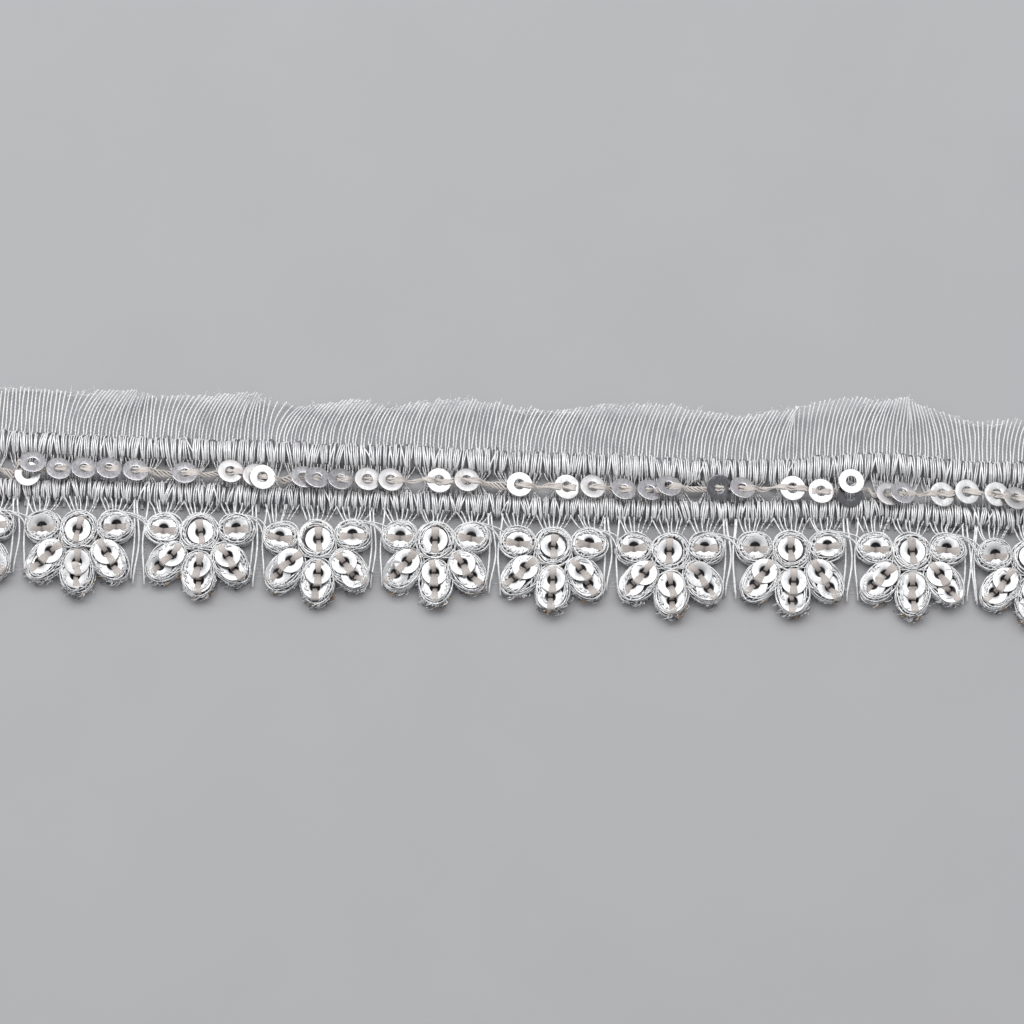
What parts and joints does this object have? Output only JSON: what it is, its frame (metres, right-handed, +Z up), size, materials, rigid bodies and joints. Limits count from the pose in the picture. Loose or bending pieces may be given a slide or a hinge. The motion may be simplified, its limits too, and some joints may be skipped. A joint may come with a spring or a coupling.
{
  "type": "sequin trim",
  "caption": "Straight cut length of silver trim: sheer raw-edged header, satin-stitch bands, a row of flat sequins and a scalloped edge of sequined embroidered flowers.",
  "frame": {"origin": "centre of the bounding box of the trim, on the plane it lies on", "axes": "+X along the trim, +Y towards the raw edge of the header, +Z up, off the face side"},
  "size_m": [0.1376, 0.027, 0.0037],
  "materials": {
    "organza": "sheer weave of fine silver-grey threads, raw cut edge",
    "silver_thread": "metallic silver embroidery thread in satin stitch",
    "sequin_silver": "mirror silver film on thin plastic",
    "tie_thread": "matt pale beige sewing thread",
    "flower_silver": "metallic silver thread around mirror silver sequins"
  },
  "bodies": {
    "root": {"flower_01": "flower_silver", "flower_02": "flower_silver", "flower_03": "flower_silver", "flower_04": "flower_silver", "flower_05": "flower_silver", "flower_06": "flower_silver", "flower_07": "flower_silver", "flower_08": "flower_silver", "flower_09": "flower_silver", "flower_10": "flower_silver", "ground_cloth": "organza", "lower_satin_band": "silver_thread", "sequin_01": "sequin_silver", "sequin_02": "sequin_silver", "sequin_03": "sequin_silver", "sequin_04": "sequin_silver", "sequin_05": "sequin_silver", "sequin_06": "sequin_silver", "sequin_07": "sequin_silver", "sequin_08": "sequin_silver", "sequin_09": "sequin_silver", "sequin_10": "sequin_silver", "sequin_11": "sequin_silver", "sequin_12": "sequin_silver", "sequin_13": "sequin_silver", "sequin_14": "sequin_silver", "sequin_15": "sequin_silver", "sequin_16": "sequin_silver", "sequin_17": "sequin_silver", "sequin_18": "sequin_silver", "sequin_19": "sequin_silver", "sequin_20": "sequin_silver", "sequin_21": "sequin_silver", "sequin_22": "sequin_silver", "sequin_23": "sequin_silver", "sequin_24": "sequin_silver", "sequin_25": "sequin_silver", "sequin_26": "sequin_silver", "sequin_27": "sequin_silver", "sequin_28": "sequin_silver", "sequin_29": "sequin_silver", "sequin_30": "sequin_silver", "sequin_31": "sequin_silver", "sequin_32": "sequin_silver", "sequin_33": "sequin_silver", "sequin_34": "sequin_silver", "sequin_35": "sequin_silver", "sequin_36": "sequin_silver", "sequin_37": "sequin_silver", "sequin_38": "sequin_silver", "sequin_39": "sequin_silver", "sequin_40": "sequin_silver", "sequin_thread": "tie_thread", "upper_satin_band": "silver_thread"}
  },
  "joints": []
}
